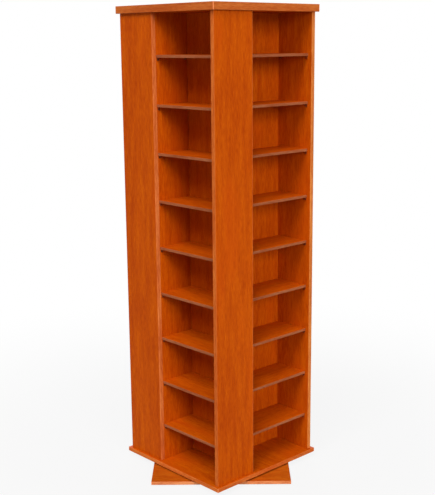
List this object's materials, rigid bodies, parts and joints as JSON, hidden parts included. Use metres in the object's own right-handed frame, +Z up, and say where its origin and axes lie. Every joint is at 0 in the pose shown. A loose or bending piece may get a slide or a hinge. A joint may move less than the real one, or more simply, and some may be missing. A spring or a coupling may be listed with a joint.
{
  "type": "rotating media tower",
  "caption": "Tall square cherry laminate media tower with open shelved bays on every face, turning on a ball bearing ring over a square base board.",
  "frame": {"origin": "on the floor, on the axis of the turntable bearing, at the middle of the footprint", "axes": "+Z up along the turning axis; -Y is the front face, +X is the face to its right; the base board stands turned 46.7 degrees, as in the picture"},
  "size_m": [0.7056, 0.7056, 1.6759],
  "materials": {
    "cherry_laminate": "satin cherry-grain laminate on particle board",
    "edge_band": "satin cherry-grain edge banding, lighter than the faces",
    "zinc_steel": "bright zinc plated pressed sheet",
    "bearing_steel": "polished balls in a plain steel cage, lightly greased",
    "support_steel": "bronzed pressed shelf supports and screw heads",
    "black_plastic": "moulded nylon glides"
  },
  "bodies": {
    "base": {"base_board": "cherry_laminate", "turntable_lower_ring": "zinc_steel", "glide_front": "black_plastic", "glide_right": "black_plastic", "glide_back": "black_plastic", "glide_left": "black_plastic"},
    "ball_cage": {"ball_cage": "bearing_steel"},
    "tower": {"top_panel": "cherry_laminate", "bottom_panel": "cherry_laminate", "turntable_upper_ring": "zinc_steel", "side_panel_front": "cherry_laminate", "side_panel_right": "cherry_laminate", "side_panel_back": "cherry_laminate", "side_panel_left": "cherry_laminate", "partition_front": "cherry_laminate", "partition_right": "cherry_laminate", "partition_back": "cherry_laminate", "partition_left": "cherry_laminate", "shelf_front_1": "cherry_laminate", "shelf_front_2": "cherry_laminate", "shelf_front_3": "cherry_laminate", "shelf_front_4": "cherry_laminate", "shelf_front_5": "cherry_laminate", "shelf_front_6": "cherry_laminate", "shelf_front_7": "cherry_laminate", "shelf_front_8": "cherry_laminate", "shelf_front_9": "cherry_laminate", "shelf_right_1": "cherry_laminate", "shelf_right_2": "cherry_laminate", "shelf_right_3": "cherry_laminate", "shelf_right_4": "cherry_laminate", "shelf_right_5": "cherry_laminate", "shelf_right_6": "cherry_laminate", "shelf_right_7": "cherry_laminate", "shelf_right_8": "cherry_laminate", "shelf_right_9": "cherry_laminate", "shelf_back_1": "cherry_laminate", "shelf_back_2": "cherry_laminate", "shelf_back_3": "cherry_laminate", "shelf_back_4": "cherry_laminate", "shelf_back_5": "cherry_laminate", "shelf_back_6": "cherry_laminate", "shelf_back_7": "cherry_laminate", "shelf_back_8": "cherry_laminate", "shelf_back_9": "cherry_laminate", "shelf_left_1": "cherry_laminate", "shelf_left_2": "cherry_laminate", "shelf_left_3": "cherry_laminate", "shelf_left_4": "cherry_laminate", "shelf_left_5": "cherry_laminate", "shelf_left_6": "cherry_laminate", "shelf_left_7": "cherry_laminate", "shelf_left_8": "cherry_laminate", "shelf_left_9": "cherry_laminate"}
  },
  "joints": [
    {"name": "tower_spin", "type": "hinge", "parent": "base", "child": "tower", "pos_m": [0, 0, 0.0169], "axis": [0, 0, 1], "continuous": true},
    {"name": "cage_spin", "type": "hinge", "parent": "base", "child": "ball_cage", "pos_m": [0, 0, 0.0169], "axis": [0, 0, 1], "continuous": true}
  ],
  "couplings": [
    {"joint": "cage_spin", "follows": "tower_spin", "ratio": 0.5}
  ]
}
